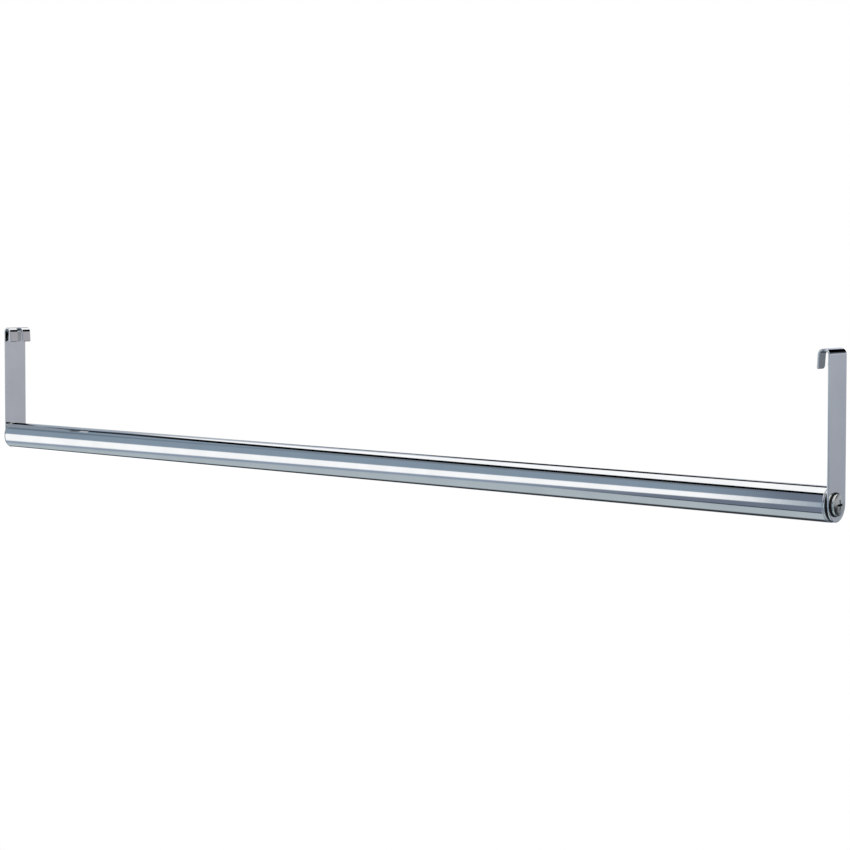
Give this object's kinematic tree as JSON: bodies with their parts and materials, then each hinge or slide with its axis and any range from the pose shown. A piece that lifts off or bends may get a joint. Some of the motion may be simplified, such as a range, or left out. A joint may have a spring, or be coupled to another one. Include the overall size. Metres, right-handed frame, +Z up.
{
  "type": "hanging rail for a wire shelf",
  "caption": "Round chromed garment rail held at each end by a flat upright strap that folds over into a notched hook for a wire shelf.",
  "frame": {"origin": "on the rail's axis, half way along it", "axes": "+X along the rail to its right-hand end, +Y to the back, +Z up along the straps towards the hooks"},
  "size_m": [0.9292, 0.0277, 0.1218],
  "materials": {
    "rail_chrome": "polished",
    "strap_chrome": "polished",
    "plug_chrome": "polished",
    "washer_nylon": "satin",
    "screw_nickel": "turned",
    "pivot_nylon": "matt"
  },
  "bodies": {
    "rail": {"rail_tube": "rail_chrome", "left_end_plug": "plug_chrome", "left_pivot_washer": "pivot_nylon", "left_flat_washer": "washer_nylon", "left_screw": "screw_nickel", "right_end_plug": "plug_chrome", "right_pivot_washer": "pivot_nylon", "right_flat_washer": "washer_nylon", "right_screw": "screw_nickel"},
    "left_hook": {"left_hook_strap": "strap_chrome"},
    "right_hook": {"right_hook_strap": "strap_chrome"}
  },
  "joints": [
    {"name": "left_strap_pivot", "type": "hinge", "parent": "rail", "child": "left_hook", "pos_m": [-0.4601, 0, 0], "axis": [1, 0, 0], "continuous": true},
    {"name": "right_strap_pivot", "type": "hinge", "parent": "rail", "child": "right_hook", "pos_m": [0.4601, 0, 0], "axis": [1, 0, 0], "continuous": true}
  ]
}
